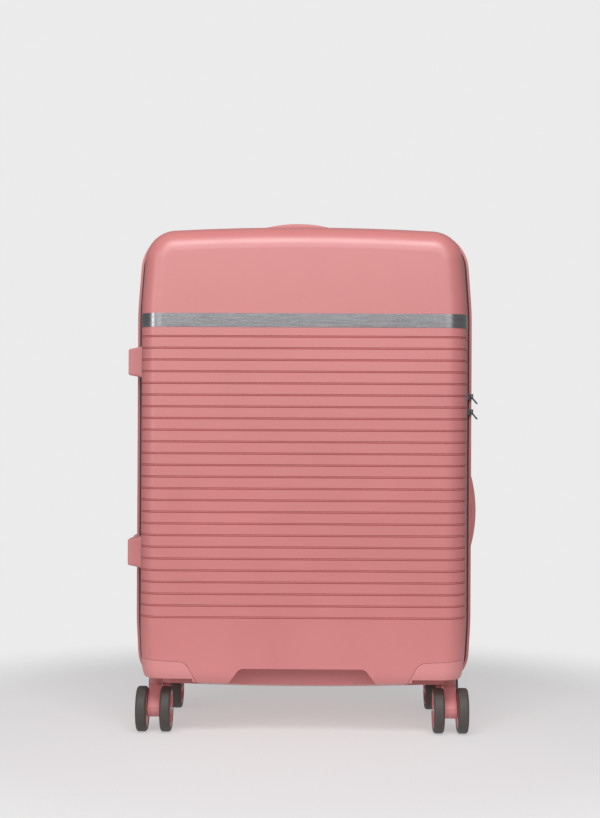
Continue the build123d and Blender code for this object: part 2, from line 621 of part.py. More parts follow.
def trolley_grip():
    """Grip bar nested in the bezel's pocket, with sockets for the inner tubes and the button."""
    low = (-POCKET_HALF + GRIP_GAP, POCKET_FRONT + GRIP_GAP, grip_bottom())
    high = (POCKET_HALF - GRIP_GAP, POCKET_BACK - GRIP_GAP, CASE_TOP)
    bar = block(low, high)
    bar = fillet(bar.edges().filter_by(Axis.Z), POCKET_CORNER)
    bar = bar & bowl(REAR, REAR_HALF_WIDTH, GRIP_GAP)
    socket = extrude(tube_section(2), amount=GRIP_SOCKET + 1)
    sockets = mirrored(Pos(TUBE_X, TUBE_Y, low[2] - 1) * socket)
    return bar - sockets - button_block(SLIDE_GAP / 2, BUTTON_TRAVEL + BUTTON_ROOM)


def grip_bottom():
    return BEZEL_BOTTOM + BEZEL_FLOOR + GRIP_GAP


def grip_middle():
    """Y of the middle of the grip's top."""
    return (POCKET_FRONT + POCKET_BACK) / 2


def grip_top():
    """Height of the grip's top surface over its middle."""
    return CASE_TOP - GRIP_GAP - (grip_middle() - ZIP_SLOT / 2) * DRAFT_STEP


def button_block(grow, deeper=0.0):
    """Space of the release button in the top of the grip."""
    top = grip_top() + BUTTON_PROUD
    half = (BUTTON_LENGTH / 2 + grow, BUTTON_WIDTH / 2 + grow)
    low = (-half[0], grip_middle() - half[1], top - BUTTON_DEPTH - deeper)
    return block(low, (half[0], grip_middle() + half[1], top + 2 * grow + deeper))


def trolley_button():
    button = button_block(0)
    return fillet(button.edges().group_by(Axis.Z)[-1], BUTTON_EDGE)


def trolley_foot_bracket():
    """Clamp across both outer tubes' feet, seated on the shell's bottom and back wall."""
    half = TUBE_X + TUBE_WIDE / 2 + BRACKET_WALL
    front = TUBE_Y - TUBE_DEEP / 2 - BRACKET_WALL / 2
    clamp = block((-half, front, CASE_BOTTOM), (half, HALF_DEPTH, TUBE_FOOT + BRACKET_GRIP))
    clamp = clamp & bowl(REAR, REAR_HALF_WIDTH, WALL)
    sockets = mirrored(Pos(TUBE_X, TUBE_Y, TUBE_FOOT) * extrude(tube_section(0), amount=2 * BRACKET_GRIP))
    return clamp - sockets


# ---------------------------------------------------------------- lock

def lock_block(grow):
    """Space of the lock in the rear shell's right side, up to a little outside its surface."""
    inner_x = REAR_HALF_WIDTH - LOCK_DEPTH
    half = LOCK_WIDTH / 2 + grow
    low = (inner_x - grow, LOCK_Y - half, LOCK_BOTTOM - grow)
    return block(low, (REAR_HALF_WIDTH + 5, LOCK_Y + half, LOCK_BOTTOM + LOCK_HEIGHT + grow))


def lock_face():
    """How far out the lock's face stands over its middle line."""
    return REAR_HALF_WIDTH - (LOCK_Y - ZIP_SLOT / 2) * DRAFT_STEP + LOCK_PROUD


def dial_place(index):
    """Centre of a lock dial, counted upwards from 0."""
    z = LOCK_BOTTOM + FIRST_DIAL + DIAL_PITCH * index
    return (lock_face() + DIAL_PROUD - DIAL_RADIUS, LOCK_Y, z)


def lock_case():
    """Flush lock body with pockets for its dials, button and key plug."""
    body = lock_block(0) & bowl(REAR, REAR_HALF_WIDTH, -LOCK_PROUD)
    for index in range(DIAL_COUNT):
        body -= rod(dial_place(index), DIAL_RADIUS + DIAL_GAP, DIAL_WIDTH + 2 * DIAL_GAP)
    middle = dial_place((DIAL_COUNT - 1) / 2)
    shaft = rod(middle, DIAL_SHAFT, DIAL_PITCH * DIAL_COUNT + DIAL_SHAFT)
    plug_hole = rod(key_place(), KEY_RADIUS + RUNNING, 2 * LOCK_DEPTH, (1, 0, 0))
    room = lock_button_block(SLIDE_GAP / 2, LOCK_BUTTON_TRAVEL + BUTTON_ROOM)
    return body + shaft - room - plug_hole


def lock_dial(index):
    dial = rod(dial_place(index), DIAL_RADIUS, DIAL_WIDTH)
    dial = chamfer(dial.edges().filter_by(GeomType.CIRCLE), DIAL_EDGE)
    return dial - rod(dial_place(index), DIAL_SHAFT + RUNNING, DIAL_WIDTH + 1)


def lock_button_block(grow, deeper=0.0):
    """Space of the square button that lets the pulls go."""
    half = LOCK_BUTTON / 2 + grow
    z = LOCK_BOTTOM + LOCK_BUTTON_UP
    face = lock_face() + LOCK_BUTTON_PROUD
    low = (face - LOCK_BUTTON_DEPTH - deeper, LOCK_Y - half, z - half)
    return block(low, (face + 2 * deeper, LOCK_Y + half, z + half))


def lock_button():
    button = lock_button_block(0)
    return fillet(button.edges().group_by(Axis.X)[-1], LOCK_BUTTON_EDGE)


def key_place():
    """Middle of the key plug's face."""
    return (lock_face(), LOCK_Y, LOCK_BOTTOM + KEY_UP)


def lock_key_plug():
    """Turning key plug, flush with the lock's face, with its keyway."""
    x, y, z = key_place()
    plug = rod((x - KEY_PLUG / 2, y, z), KEY_RADIUS, KEY_PLUG, (1, 0, 0))
    across, along = KEYWAY[0] / 2, KEYWAY[1] / 2
    return plug - block((x - KEYWAY[2], y - across, z - along), (x + 1, y + across, z + along))


# ---------------------------------------------------------------- lining, divider and straps

def inner_bulges(side, grow):
    """Boxes that the lining runs round: housings, handle works, lock, bezel and recess."""
    sign = -1 if side is FRONT else 1
    far = HALF_DEPTH + 10
    wide = REAR_HALF_WIDTH + 20
    above = CASE_TOP + 20
    near = HOUSING_INNER_Y - FLANGE_WIDTH - BULGE_GAP
    ys = sorted((sign * near, sign * far))
    housing_x = HOUSING_INNER_X - HOUSING_RADIUS
    corner = ((housing_x, ys[0], 0), (wide, ys[1], HOUSING_TOP + FLANGE_WIDTH + BULGE_GAP))
    boxes = [corner, ((-wide, *corner[0][1:]), (-housing_x, *corner[1][1:]))]
    if side is REAR:
        half = MOUNT_X + MOUNT_LENGTH / 2
        ys = (HANDLE_Y - HANDLE_WIDTH / 2 - 1, HANDLE_Y + HANDLE_WIDTH / 2 + 1)
        depth = STEM_DEPTH + STOP_THICK + 2 * BULGE_GAP
        under = top_frame().origin.Z - depth
        boxes.append(((TOP_HANDLE_X - half, ys[0], under), (TOP_HANDLE_X + half, ys[1], above)))
        inside = side_frame().origin.X - depth
        boxes.append(((inside, ys[0], SIDE_HANDLE_Z - half), (wide, ys[1], SIDE_HANDLE_Z + half)))
        lock_z = (LOCK_BOTTOM - 3 * BULGE_GAP, LOCK_BOTTOM + LOCK_HEIGHT + 3 * BULGE_GAP)
        lock_low = (REAR_HALF_WIDTH - LOCK_DEPTH - BULGE_GAP - 1, LINING_RIM - 4, lock_z[0])
        boxes.append((lock_low, (wide, LOCK_Y + LOCK_WIDTH / 2 + 2 * BULGE_GAP, lock_z[1])))
        low = (-BEZEL_HALF - 3 * BULGE_GAP, BEZEL_FRONT - BULGE_GAP - 1, BEZEL_BOTTOM - 3 * BULGE_GAP)
        boxes.append((low, (-low[0], wide, above)))
    else:
        half = recess_half(CASE_BOTTOM)
        wall = -HALF_DEPTH + RECESS_DEPTH + WALL + 2 * BULGE_GAP
        boxes.append(((-half, -far, 0), (half, wall, RECESS_TOP + WALL + 2 * BULGE_GAP)))
    return [block([c - grow for c in low], [c + grow for c in high]) for low, high in boxes]


def lining(side, half_width, back_y):
    """Thin fabric tub that follows the inside of a half and runs round what stands in it."""
    start = ZIP_SLOT / 2 + LINING_RIM
    reach = half_width + 50
    sign = -1 if side is FRONT else 1
    ys = sorted((sign * start, sign * back_y))
    outer = bowl(side, half_width, WALL + LINING_GAP)
    outer &= block((-reach, ys[0], 0), (reach, ys[1], CASE_TOP))
    ys = sorted((sign * (start - 5), sign * (back_y - LINING)))
    inner = bowl(side, half_width, WALL + LINING_GAP + LINING)
    inner &= block((-reach, ys[0], 0), (reach, ys[1], CASE_TOP))
    return (outer - inner_bulges(side, 0)) - (inner - inner_bulges(side, LINING))


def divider_panel():
    """Flat zipped panel across the front half, just inside its rim."""
    panel = rim_outline(FRONT_HALF_WIDTH, DIVIDER_INSET)
    return Plane((0, DIVIDER_Y, 0), x_dir=(1, 0, 0), z_dir=(0, -1, 0)) * extrude(panel, amount=DIVIDER_THICK)


def strap_plane():
    """Plane on the rear lining's floor, in the middle of the case, facing the front."""
    middle = (CASE_TOP + CASE_BOTTOM) / 2 + 20
    return Plane((0, REAR_FLOOR_Y - LINING - 0.3, middle), x_dir=(1, 0, 0), z_dir=(0, -1, 0))


def cross_straps():
    """Four webbing straps from the buckle to the sides of the rear half."""
    reach = FRONT_HALF_WIDTH - 32
    rise = (CASE_TOP - CASE_BOTTOM) * STRAP_RISE
    flat = Circle(BUCKLE * 0.3)
    for right, up in ((-1, 1), (1, 1), (1, -1), (-1, -1)):
        end = Vector(right * reach, up * rise)
        length = end.length
        turn = Vector(0, 1).get_signed_angle(end)
        flat += Rot(0, 0, turn) * Pos(0, length / 2) * Rectangle(STRAP_WIDTH, length)
    return strap_plane() * extrude(flat, amount=STRAP_THICK)


def strap_buckle():
    """Centre buckle on the crossing of the straps."""
    plate = Rectangle(BUCKLE, BUCKLE * 1.25)
    plate = fillet(plate.vertices(), 8)
    body = extrude(plate, amount=8)
    body = fillet(body.edges().group_by(Axis.Z)[-1], 2)
    return strap_plane() * (Pos(0, 0, STRAP_THICK) * body)


# ---------------------------------------------------------------- build and write

def build():
    nodes = {
        "front_shell": front_shell(),
        "rear_shell": rear_shell(),
        "trim_strip": trim_strip(),
        "zip_half_front": zip_half(FRONT, FRONT_HALF_WIDTH),
        "zip_half_rear": zip_half(REAR, REAR_HALF_WIDTH),
        "hinge_gusset": hinge_gusset(),
        "zip_slider_upper": slider(SLIDER_Z[0]),
        "zip_slider_lower": slider(SLIDER_Z[1]),
        "zip_pull_upper": pull(SLIDER_Z[0]),
        "zip_pull_lower": pull(SLIDER_Z[1]),
        "caster_housings_front": caster_housings(FRONT, FRONT_HALF_WIDTH),
        "caster_housings_rear": caster_housings(REAR, REAR_HALF_WIDTH),
        "side_feet_front": side_feet(FRONT, FRONT_HALF_WIDTH),
        "side_feet_rear": side_feet(REAR, REAR_HALF_WIDTH),
        "top_handle": carry_handle(top_frame()),
        "side_handle": carry_handle(side_frame()),
        "handle_mounts": handle_mount_pair(top_frame()) + handle_mount_pair(side_frame()),
        "trolley_bezel": trolley_bezel(),
        "trolley_outer_tubes": tubes(0, TUBE_FOOT, BEZEL_BOTTOM),
        "trolley_middle_tubes": tubes(1, MIDDLE_BOTTOM, grip_bottom() - 1),
        "trolley_inner_tubes": tubes(2, MIDDLE_BOTTOM + STAGE_STEP, grip_bottom() + GRIP_SOCKET),
        "trolley_grip": trolley_grip(),
        "trolley_button": trolley_button(),
        "trolley_foot_bracket": trolley_foot_bracket(),
        "lock_case": lock_case(),
        "lock_button": lock_button(),
        "lock_key_plug": lock_key_plug(),
        "front_lining": lining(FRONT, FRONT_HALF_WIDTH, HALF_DEPTH),
        "rear_lining": lining(REAR, REAR_HALF_WIDTH, REAR_FLOOR_Y),
        "divider_panel": divider_panel(),
        "cross_straps": cross_straps(),
        "strap_buckle": strap_buckle(),
    }
    for index in range(DIAL_COUNT):
        nodes[f"lock_dial_{index + 1}"] = lock_dial(index)
    for name, x, y in (("fl", -1, -1), ("fr", 1, -1), ("rl", -1, 1), ("rr", 1, 1)):
        place = (x * CASTER_X, y * CASTER_Y)
        nodes[f"fork_{name}"] = fork(*place)
        nodes[f"axle_{name}"] = axle(*place)
        for letter, side in (("a", -1), ("b", 1)):
            tyre, hub = wheel_pieces(*place, side)
            nodes[f"tyre_{name}_{letter}"] = tyre
            nodes[f"hub_{name}_{letter}"] = hub
    return nodes


os.makedirs("parts", exist_ok=True)
for node, shape in build().items():
    export_step(shape, f"parts/{node}.step")
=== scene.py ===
import json
from math import cos, hypot, pi, radians, sin

import bmesh
import bpy
from mathutils import Matrix, Vector, noise
from mathutils.geometry import convex_hull_2d

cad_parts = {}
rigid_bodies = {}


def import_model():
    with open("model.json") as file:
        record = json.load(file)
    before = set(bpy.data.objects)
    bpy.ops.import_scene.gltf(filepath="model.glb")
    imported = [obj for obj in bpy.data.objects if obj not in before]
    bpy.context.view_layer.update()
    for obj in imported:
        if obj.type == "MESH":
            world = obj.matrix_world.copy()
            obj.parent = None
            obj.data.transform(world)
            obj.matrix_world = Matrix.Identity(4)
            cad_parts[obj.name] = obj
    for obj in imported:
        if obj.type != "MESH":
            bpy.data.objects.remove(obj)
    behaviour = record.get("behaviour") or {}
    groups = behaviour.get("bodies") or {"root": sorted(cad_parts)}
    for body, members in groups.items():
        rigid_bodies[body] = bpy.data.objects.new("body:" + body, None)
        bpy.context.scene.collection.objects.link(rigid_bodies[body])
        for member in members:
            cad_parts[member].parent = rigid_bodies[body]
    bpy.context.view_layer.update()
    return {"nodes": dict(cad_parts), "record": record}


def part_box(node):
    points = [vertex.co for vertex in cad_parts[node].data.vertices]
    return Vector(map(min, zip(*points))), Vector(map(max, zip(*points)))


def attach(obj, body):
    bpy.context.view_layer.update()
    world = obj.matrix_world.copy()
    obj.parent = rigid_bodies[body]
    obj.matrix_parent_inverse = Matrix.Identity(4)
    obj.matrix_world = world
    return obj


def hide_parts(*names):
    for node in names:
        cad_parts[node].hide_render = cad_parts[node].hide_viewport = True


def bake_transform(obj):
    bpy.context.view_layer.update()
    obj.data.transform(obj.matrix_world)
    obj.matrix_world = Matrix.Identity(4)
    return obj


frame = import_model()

nodes = frame["nodes"]
node_slot = {part["node"]: part["material_slot"] for part in frame["record"]["subparts"]}
bpy.ops.object.select_all(action="DESELECT")


# ---- Studio
# A pale floor that fades into the backdrop, one broad light above and in front, and weaker ones beside.
def colour(red, green, blue):
    """Linear colour with its alpha, from display values of 0 to 255."""
    linear = [((c / 255 + 0.055) / 1.055) ** 2.4 for c in (red, green, blue)]
    return (*linear, 1.0)


def soft_light(name, place, aim, width, height, watts):
    data = bpy.data.lights.new(name, "AREA")
    data.shape, data.size, data.size_y, data.energy = "RECTANGLE", width, height, watts
    light = bpy.data.objects.new(name, data)
    bpy.context.scene.collection.objects.link(light)
    light.location = place
    light.rotation_euler = (Vector(aim) - Vector(place)).to_track_quat("-Z", "Y").to_euler()


BACKDROP = colour(235, 235, 235)
FLOOR_GLOW = 0.51
FLOOR_FADE = (0.42, 0.75)

floor_mat = bpy.data.materials.new("studio_floor")
floor_mat.use_nodes = True
tree = floor_mat.node_tree
tree.nodes.clear()
out = tree.nodes.new("ShaderNodeOutputMaterial")
diffuse = tree.nodes.new("ShaderNodeBsdfDiffuse")
diffuse.inputs["Color"].default_value = colour(165, 162, 163)
glow = tree.nodes.new("ShaderNodeEmission")
glow.inputs["Color"].default_value = BACKDROP
glow.inputs["Strength"].default_value = FLOOR_GLOW
clear = tree.nodes.new("ShaderNodeBsdfTransparent")
both = tree.nodes.new("ShaderNodeAddShader")
fade = tree.nodes.new("ShaderNodeMixShader")
place = tree.nodes.new("ShaderNodeTexCoord")
reach = tree.nodes.new("ShaderNodeVectorMath")
reach.operation = "LENGTH"
edge = tree.nodes.new("ShaderNodeMapRange")
edge.interpolation_type = "SMOOTHSTEP"
edge.inputs["From Min"].default_value, edge.inputs["From Max"].default_value = FLOOR_FADE
tree.links.new(place.outputs["Object"], reach.inputs[0])
tree.links.new(reach.outputs["Value"], edge.inputs["Value"])
tree.links.new(edge.outputs["Result"], fade.inputs["Fac"])
tree.links.new(diffuse.outputs[0], both.inputs[0])
tree.links.new(glow.outputs[0], both.inputs[1])
tree.links.new(both.outputs[0], fade.inputs[1])
tree.links.new(clear.outputs[0], fade.inputs[2])
tree.links.new(fade.outputs[0], out.inputs["Surface"])
bpy.ops.mesh.primitive_plane_add(size=8, location=(0, 0, 0))
floor = bpy.context.object
floor.name = "studio_floor"
floor.data.materials.append(floor_mat)

world = bpy.data.worlds.new("studio")
bpy.context.scene.world = world
world.use_nodes = True
tree = world.node_tree
seen = tree.nodes["Background"]
seen.inputs["Color"].default_value = BACKDROP
fill = tree.nodes.new("ShaderNodeBackground")
fill.inputs["Color"].default_value = colour(235, 235, 238)
fill.inputs["Strength"].default_value = 0.28
ray = tree.nodes.new("ShaderNodeLightPath")
pick = tree.nodes.new("ShaderNodeMixShader")
tree.links.new(ray.outputs["Is Camera Ray"], pick.inputs["Fac"])
tree.links.new(fill.outputs[0], pick.inputs[1])
tree.links.new(seen.outputs[0], pick.inputs[2])
tree.links.new(pick.outputs[0], tree.nodes["World Output"].inputs["Surface"])

soft_light("overhead", (0.0, -1.6, 2.05), (0, 0, 0.5), 2.0, 0.7, 33)
soft_light("front_left", (-1.05, -2.4, 1.35), (0, 0, 0.4), 1.3, 1.3, 14)
soft_light("front_right", (1.05, -2.4, 1.35), (0, 0, 0.4), 1.3, 1.3, 12)
soft_light("front_middle", (0, -2.6, 1.15), (0, 0, 0.5), 0.7, 0.5, 4.5)
soft_light("side_left", (-2.2, -1.7, 0.9), (0, 0, 0.35), 0.5, 1.4, 9)

camera_data = bpy.data.cameras.new("camera")
camera_data.sensor_fit = "VERTICAL"
camera_data.sensor_height = 36.0
camera_data.lens = 70.55
camera = bpy.data.objects.new("camera", camera_data)
bpy.context.scene.collection.objects.link(camera)
camera.location = (0.020, -2.10, 0.403)
camera.rotation_euler = (radians(90), radians(-0.27), radians(0.70))
bpy.context.scene.camera = camera
bpy.context.scene.view_settings.view_transform = "Standard"


# ---- Front and rear shells
# Two bowls pressed from pink polypropylene sheet: satin, with a faint orange peel and no paint.
def new_material(name, base, rough, metal=0.0):
    mat = bpy.data.materials.new(name)
    mat.use_nodes = True
    shader = mat.node_tree.nodes["Principled BSDF"]
    shader.inputs["Base Color"].default_value = base
    shader.inputs["Roughness"].default_value = rough
    shader.inputs["Metallic"].default_value = metal
    return mat, mat.node_tree, shader


def noise_node(tree, scale, stretch=(1, 1, 1), detail=3.0):
    place = tree.nodes.new("ShaderNodeTexCoord")
    mapping = tree.nodes.new("ShaderNodeMapping")
    mapping.inputs["Scale"].default_value = stretch
    grain = tree.nodes.new("ShaderNodeTexNoise")
    grain.inputs["Scale"].default_value = scale
    grain.inputs["Detail"].default_value = detail
    tree.links.new(place.outputs["Object"], mapping.inputs["Vector"])
    tree.links.new(mapping.outputs["Vector"], grain.inputs["Vector"])
    return grain.outputs["Fac"]


def spread(tree, value, low, high, shader, socket):
    """Drives a shader's number from a pattern, between two values."""
    step = tree.nodes.new("ShaderNodeMapRange")
    step.inputs["From Min"].default_value, step.inputs["From Max"].default_value = 0.3, 0.7
    step.inputs["To Min"].default_value, step.inputs["To Max"].default_value = low, high
    tree.links.new(value, step.inputs["Value"])
    tree.links.new(step.outputs["Result"], shader.inputs[socket])


def tinted(tree, value, dark, light, shader):
    """Colour between two shades, following a pattern."""
    ramp = tree.nodes.new("ShaderNodeValToRGB")
    ramp.color_ramp.elements[0].position, ramp.color_ramp.elements[1].position = 0.3, 0.7
    ramp.color_ramp.elements[0].color, ramp.color_ramp.elements[1].color = dark, light
    tree.links.new(value, ramp.inputs["Fac"])
    tree.links.new(ramp.outputs["Color"], shader.inputs["Base Color"])


def bumped(tree, value, shader, depth, strength=0.4):
    bump = tree.nodes.new("ShaderNodeBump")
    bump.inputs["Strength"].default_value = strength
    bump.inputs["Distance"].default_value = depth
    tree.links.new(value, bump.inputs["Height"])
    tree.links.new(bump.outputs["Normal"], shader.inputs["Normal"])


def shade(base, share):
    return (*[min(1.0, c * share) for c in base[:3]], 1.0)


def moulded(name, base, rough, grain_scale, depth, cloud=0.035, gloss=0.5):
    """Moulded plastic: faint clouding of colour and gloss over a fine grain."""
    mat, tree, shader = new_material(name, base, rough)
    tinted(tree, noise_node(tree, 7, detail=2), shade(base, 1 - cloud), shade(base, 1 + cloud), shader)
    spread(tree, noise_node(tree, 22, detail=4), rough - 0.035, rough + 0.035, shader, "Roughness")
    bumped(tree, noise_node(tree, grain_scale, detail=2), shader, depth)
    shader.inputs["Specular IOR Level"].default_value = gloss
    return mat


def paint(mat, *names):
    for name in names:
        nodes[name].data.materials.clear()
        nodes[name].data.materials.append(mat)


SHELL_PINK = (0.585, 0.195, 0.190, 1.0)
shell_pink = moulded("shell_pink", SHELL_PINK, 0.38, 900, 0.00012, gloss=0.9)
paint(shell_pink, "front_shell", "rear_shell")

# ---- Corner housings and side feet
# Injection moulded in the same pink, a touch lighter, clipped in and screwed on from inside.
fitting_pink = moulded("fitting_pink", (0.640, 0.245, 0.242, 1.0), 0.42, 1500, 0.0001)
paint(fitting_pink, "caster_housings_front", "caster_housings_rear", "side_feet_front", "side_feet_rear")

# ---- Trim strip
# Thin stainless strip, brushed along its length and pressed into a channel round the front shell.
strip_mat, tree, shader = new_material("trim_steel", colour(160, 159, 162), 0.27, 1.0)
brush = noise_node(tree, 60, stretch=(0.35, 0.35, 60), detail=5)
tinted(tree, brush, colour(140, 139, 142), colour(178, 177, 180), shader)
spread(tree, noise_node(tree, 60, stretch=(0.5, 0.5, 40), detail=3), 0.20, 0.34, shader, "Roughness")
bumped(tree, brush, shader, 0.00008, 0.25)
paint(strip_mat, "trim_strip")

# ---- Casters
# Forks and hubs of pink nylon, dark grey polyurethane tyres, and a bright steel axle through each pair.
tyre_mat = moulded("tyre_grey", colour(74, 69, 65), 0.55, 1200, 0.0002, cloud=0.10, gloss=0.35)
hub_pink = moulded("hub_pink", (0.640, 0.245, 0.250, 1.0), 0.38, 1500, 0.0001)
axle_mat, tree, shader = new_material("axle_steel", colour(190, 190, 192), 0.3, 1.0)
spread(tree, noise_node(tree, 400, detail=3), 0.22, 0.38, shader, "Roughness")
for corner in ("fl", "fr", "rl", "rr"):
    paint(hub_pink, f"fork_{corner}", f"hub_{corner}_a", f"hub_{corner}_b")
    paint(tyre_mat, f"tyre_{corner}_a", f"tyre_{corner}_b")
    paint(axle_mat, f"axle_{corner}")

# ---- Carry handles
# Soft touch pink grips with flat stems, and the moulded brackets that the stems slide in.
grip_pink = moulded("handle_pink", (0.585, 0.212, 0.210, 1.0), 0.50, 700, 0.0003)
paint(grip_pink, "top_handle", "side_handle")
paint(fitting_pink, "handle_mounts")

# ---- Trolley
# Satin anodised tubes in three stages, with a moulded pink bezel and grip and a dark release button.
tube_mat, tree, shader = new_material("tube_aluminium", colour(188, 189, 192), 0.32, 1.0)
spread(tree, noise_node(tree, 80, stretch=(30, 30, 0.4), detail=4), 0.26, 0.40, shader, "Roughness")
paint(tube_mat, "trolley_outer_tubes", "trolley_middle_tubes", "trolley_inner_tubes")
trolley_dark = moulded("trolley_dark", colour(58, 56, 58), 0.48, 1100, 0.0003, cloud=0.06)
paint(fitting_pink, "trolley_bezel", "trolley_grip")
paint(trolley_dark, "trolley_foot_bracket")
button_dark = moulded("button_dark", colour(40, 38, 40), 0.35, 1600, 0.0001, cloud=0.05)
paint(button_dark, "trolley_button")

# ---- Zip
# Woven tape stuck inside each rim, with a nylon coil along its edge whose turns mesh in the middle.
tape_mat, tree, shader = new_material("zip_tape", colour(96, 52, 56), 0.85)
weave = noise_node(tree, 900, stretch=(1, 0.4, 1), detail=2)
tinted(tree, weave, colour(84, 44, 48), colour(112, 64, 67), shader)
bumped(tree, weave, shader, 0.0002, 0.6)
paint(tape_mat, "zip_half_front", "zip_half_rear")
coil_mat = moulded("zip_coil", colour(112, 66, 68), 0.42, 1500, 0.0001, cloud=0.08)
TOOTH_PITCH = 0.0022
TOOTH_WIDE = 0.00125
TOOTH_SECTIONS = ((0.0038, 0.8), (0.0010, 1.0), (-0.0004, 1.25), (-0.0009, 0.7))  # (depth, share of width)
TOOTH_HEIGHTS = (-0.0007, 0.0011)
HINGE_GAP = (-0.187, 0.126, 0.529)


def plane_loop(name, low, high):
    """Convex outline, in X and Z, of a node's vertices between two depths, anticlockwise."""
    mesh = nodes[name].data
    points = [(v.co.x, v.co.z) for v in mesh.vertices if low <= v.co.y <= high]
    return [Vector(points[i]) for i in convex_hull_2d(points)]


def even_steps(loop, pitch):
    """Points and inward directions at even steps round a closed outline."""
    found, left = [], 0.0
    for a, b in zip(loop, loop[1:] + loop[:1]):
        run = (b - a).length
        if run < 1e-7:
            continue
        along = (b - a) / run
        while left < run:
            found.append((a + along * left, Vector((-along.y, along.x)), along))
            left += pitch
        left -= run
    middle = sum((p for p, _, _ in found), Vector((0, 0))) / len(found)
    return [(p, n if n.dot(middle - p) > 0 else -n, t) for p, n, t in found]


def zip_teeth(name, loop, toward, shift, body):
    """Row of flattened coil turns, as one mesh, from the tape's edge to just past the middle."""
    bm = bmesh.new()
    for at, inward, along in even_steps(loop, TOOTH_PITCH)[int(shift):]:
        at = at + along * TOOTH_PITCH * (shift % 1)
        if at.x < HINGE_GAP[0] and HINGE_GAP[1] < at.y < HINGE_GAP[2]:
            continue
        rings = []
        for depth, wide in TOOTH_SECTIONS:
            ring = []
            for side in (-1, 1):
                half = [(side, r) for r in TOOTH_HEIGHTS]
                for s, r in (half if side < 0 else half[::-1]):
                    spot = at + inward * r + along * (s * TOOTH_WIDE / 2 * wide)
                    ring.append(bm.verts.new((spot.x, toward * depth, spot.y)))
            rings.append(ring)
        for one, two in zip(rings, rings[1:]):
            for k in range(4):
                bm.faces.new((one[k], one[(k + 1) % 4], two[(k + 1) % 4], two[k]))
        bm.faces.new(rings[0][::-1])
        bm.faces.new(rings[-1])
    bmesh.ops.recalc_face_normals(bm, faces=bm.faces)
    mesh = bpy.data.meshes.new(name)
    bm.to_mesh(mesh)
    bm.free()
    mesh.materials.append(coil_mat)
    teeth = bpy.data.objects.new(name, mesh)
    bpy.context.scene.collection.objects.link(teeth)
    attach(teeth, body)


coil_loop = plane_loop("zip_half_front", -0.0004, 0.0)
zip_teeth("zip_teeth_front", coil_loop, -1, 0.0, "front_case")
zip_teeth("zip_teeth_rear", coil_loop, 1, 0.5, "rear_case")

# ---- Zip sliders, pulls and lock
# Dark plated die castings, held by a recessed combination lock with moulded digits on its dials.
pull_mat, tree, shader = new_material("pull_metal", colour(120, 116, 118), 0.22, 1.0)
spread(tree, noise_node(tree, 300, detail=3), 0.16, 0.30, shader, "Roughness")
paint(pull_mat, "zip_slider_upper", "zip_slider_lower")
paint(pull_mat, "zip_pull_upper", "zip_pull_lower", "lock_button")
lock_dark = moulded("lock_dark", colour(62, 58, 60), 0.40, 1300, 0.0002, cloud=0.05)
paint(lock_dark, "lock_case")
paint(axle_mat, "lock_key_plug")
dial_mat = moulded("dial_white", colour(206, 203, 200), 0.38, 1500, 0.0001, cloud=0.03)
digit_mat = moulded("digit_black", colour(34, 32, 33), 0.45, 1500, 0.0001, cloud=0.05)
DIGIT_SIZE = 0.0044
for index in (1, 2, 3):
    dial = f"lock_dial_{index}"
    paint(dial_mat, dial)
    low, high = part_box(dial)
    middle = (low + high) / 2
    radius = (high.x - low.x) / 2
    bpy.ops.object.select_all(action="DESELECT")
    for number in range(10):
        bpy.ops.object.text_add(location=(0, 0, 0))
        digit = bpy.context.object
        digit.data.body = str(number)
        digit.data.size = DIGIT_SIZE
        digit.data.align_x, digit.data.align_y = "CENTER", "CENTER"
        digit.data.extrude = 0.00015
        digit.data.resolution_u = 3
        bpy.ops.object.convert(target="MESH")
        digit = bpy.context.object
        facing = Matrix(((0, 0, 1), (0, 1, 0), (-1, 0, 0))).to_4x4()
        turn = Matrix.Rotation(2 * pi * number / 10, 4, "Z")
        outward = Matrix.Translation((radius, 0, 0))
        digit.data.transform(Matrix.Translation(middle) @ turn @ outward @ facing)
        digit.name = f"digit_{index}_{number}"
    row = [bpy.data.objects[f"digit_{index}_{number}"] for number in range(10)]
    for digit in row:
        digit.select_set(True)
    bpy.context.view_layer.objects.active = row[0]
    bpy.ops.object.join()
    digits = bpy.context.object
    digits.name = f"dial_digits_{index}"
    digits.data.materials.clear()
    digits.data.materials.append(digit_mat)
    bpy.ops.object.select_all(action="DESELECT")
    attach(digits, dial)

# ---- Linings
# Woven polyester tubs sewn to the rims, which lie on the shells with soft creases between their seams.
lining_mat, tree, shader = new_material("lining_fabric", colour(172, 150, 152), 0.78)
cross = noise_node(tree, 1500, stretch=(1, 1, 0.25), detail=2)
tinted(tree, cross, colour(150, 128, 131), colour(188, 168, 170), shader)
bumped(tree, cross, shader, 0.00025, 0.6)
shader.inputs["Sheen Weight"].default_value = 0.25


